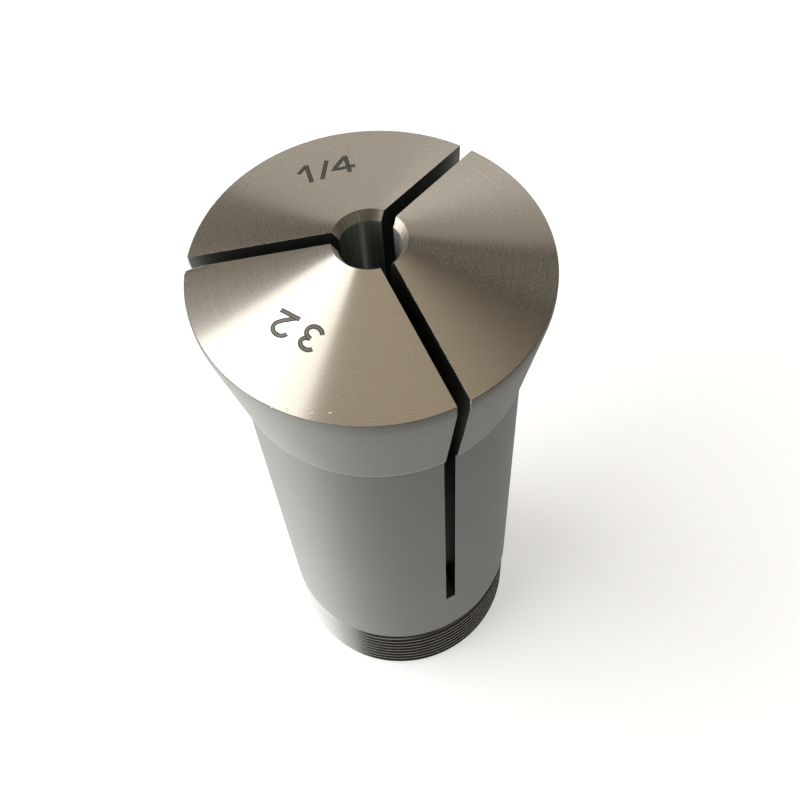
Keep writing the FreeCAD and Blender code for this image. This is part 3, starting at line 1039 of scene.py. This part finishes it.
# %% [markdown]
# ## Lamp and room
# Polished metal shows mostly what stands round it, so the room matters more than the lamp. Each part of the
# turned nose mirrors one slice of the room, because its lines spread the reflection into a fan. The room is
# therefore drawn in slices, one for each part of the nose: a bright window for the sector that glares, a dim
# wall beside it, and paler walls for the rest. Round panels light the shank from the left and the right and
# the nose from above, and a pale haze lies along the horizon. One small distant lamp, to the left and a
# little behind, only gives the soft shadow.

# %% Lamp
LAMP_DIRECTION = Vector((-0.499, 0.184, 0.847))
LAMP_SPREAD = math.radians(14)
LAMP_STRENGTH = 0.2


def make_lamp():
    """A distant soft lamp that shines from the lamp direction."""
    data = bpy.data.lights.new("overhead_lamp", "SUN")
    data.energy = LAMP_STRENGTH
    data.angle = LAMP_SPREAD
    lamp = bpy.data.objects.new("overhead_lamp", data)
    lamp.rotation_euler = LAMP_DIRECTION.to_track_quat("Z", "Y").to_euler()
    bpy.context.scene.collection.objects.link(lamp)


make_lamp()
print(f"lamp {math.degrees(math.asin(LAMP_DIRECTION.normalized().z)):.0f} degrees up")

# %% Masks over the room


def panel_mask(tree, azimuth, elevation, half_width, edge):
    """One inside a round panel of the room and zero outside it, with a soft edge, all in degrees: the
    cosine to the panel's middle, mapped from the cosine of the outer edge to that of the inner edge."""
    azimuth, elevation, half_width, edge = np.radians([azimuth, elevation, half_width, edge])
    coordinates = tree.nodes.new("ShaderNodeTexCoord")
    facing = tree.nodes.new("ShaderNodeVectorMath")
    facing.operation = "DOT_PRODUCT"
    link(tree, coordinates.outputs["Generated"], facing.inputs[0])
    facing.inputs[1].default_value = (math.cos(elevation) * math.cos(azimuth),
                                      math.cos(elevation) * math.sin(azimuth), math.sin(elevation))
    fade = tree.nodes.new("ShaderNodeMapRange")
    fade.interpolation_type = "SMOOTHSTEP"
    fade.inputs["From Min"].default_value = math.cos(half_width + edge)
    fade.inputs["From Max"].default_value = math.cos(half_width - edge)
    link(tree, facing.outputs["Value"], fade.inputs["Value"])
    return fade.outputs["Result"]


def slice_mask(tree, first, last, edge):
    """One where the room is mirrored towards the camera by a part of the nose: its faces turned between
    two azimuths. Each border is a round edge whose axis is level and square to the border's own face."""
    to_camera = (camera_place - Vector((0, 0, OVERALL_LENGTH))).normalized()
    borders = []
    for face in (first, last):
        square_on = Vector((-math.sin(math.radians(face)), math.cos(math.radians(face)), 0))
        half_width = math.degrees(math.acos(-to_camera.dot(square_on)))
        borders.append(panel_mask(tree, face + 90, 0, half_width, edge))
    return math_node(tree, "MULTIPLY", borders[0], math_node(tree, "SUBTRACT", 1.0, borders[1]))


def add_light(tree, mask, colour, below):
    """Light of one colour where the mask is one, on top of the light below."""
    panel = tree.nodes.new("ShaderNodeVectorMath")
    panel.operation = "MULTIPLY_ADD"
    link(tree, mask, panel.inputs[0])
    panel.inputs[1].default_value = colour
    link(tree, below, panel.inputs[2])
    return panel.outputs[0]


print("masks ready for the room")

# %% Room
ROOM_LIGHT = (0.080, 0.066, 0.049)
ABOVE_HAZE = (0, 90, 77, 7)
HAZE_LIGHT = (0.40, 0.39, 0.37)
SLICES = [
    # first and last face of the nose that the light is for, soft edge in degrees, and light
    (210, 252.5, 1, (1.6, 1.6, 1.57)),
    (180, 196, 4, (0.195, 0.173, 0.145)),
    (154, 180, 3, (0.055, 0.05, 0.042)),
    (60, 154, 3, (0.40, 0.385, 0.355)),
    (5, 60, 3, (0.295, 0.272, 0.238)),
]
PANELS = [
    # azimuth and elevation of the middle, half width and soft edge in degrees, and light
    (85, 82, 21, 12, (0.61, 0.525, 0.40)),
    (192, 5, 35, 12, (3.8, 3.8, 3.8)),
    (30, 3, 9, 5, (2.1, 2.05, 1.95)),
]


def make_world():
    """The light of the room: a dim warm tone everywhere, and on top of it the haze, the slices and the
    panels, each as its mask times its light."""
    world = bpy.data.worlds.new("room")
    bpy.context.scene.world = world
    world.use_nodes = True
    tree = world.node_tree
    room = tree.nodes.new("ShaderNodeCombineXYZ")
    for socket, value in zip(room.inputs, ROOM_LIGHT):
        socket.default_value = value
    haze = math_node(tree, "SUBTRACT", 1.0, panel_mask(tree, *ABOVE_HAZE))
    light = add_light(tree, haze, HAZE_LIGHT, room.outputs[0])
    for *shape, colour in SLICES:
        light = add_light(tree, slice_mask(tree, *shape), colour, light)
    for *shape, colour in PANELS:
        light = add_light(tree, panel_mask(tree, *shape), colour, light)
    link(tree, light, tree.nodes["Background"].inputs["Color"])


make_world()
bpy.context.scene.view_settings.view_transform = "Standard"
print(f"{len(SLICES)} slices and {len(PANELS)} panels in the room")
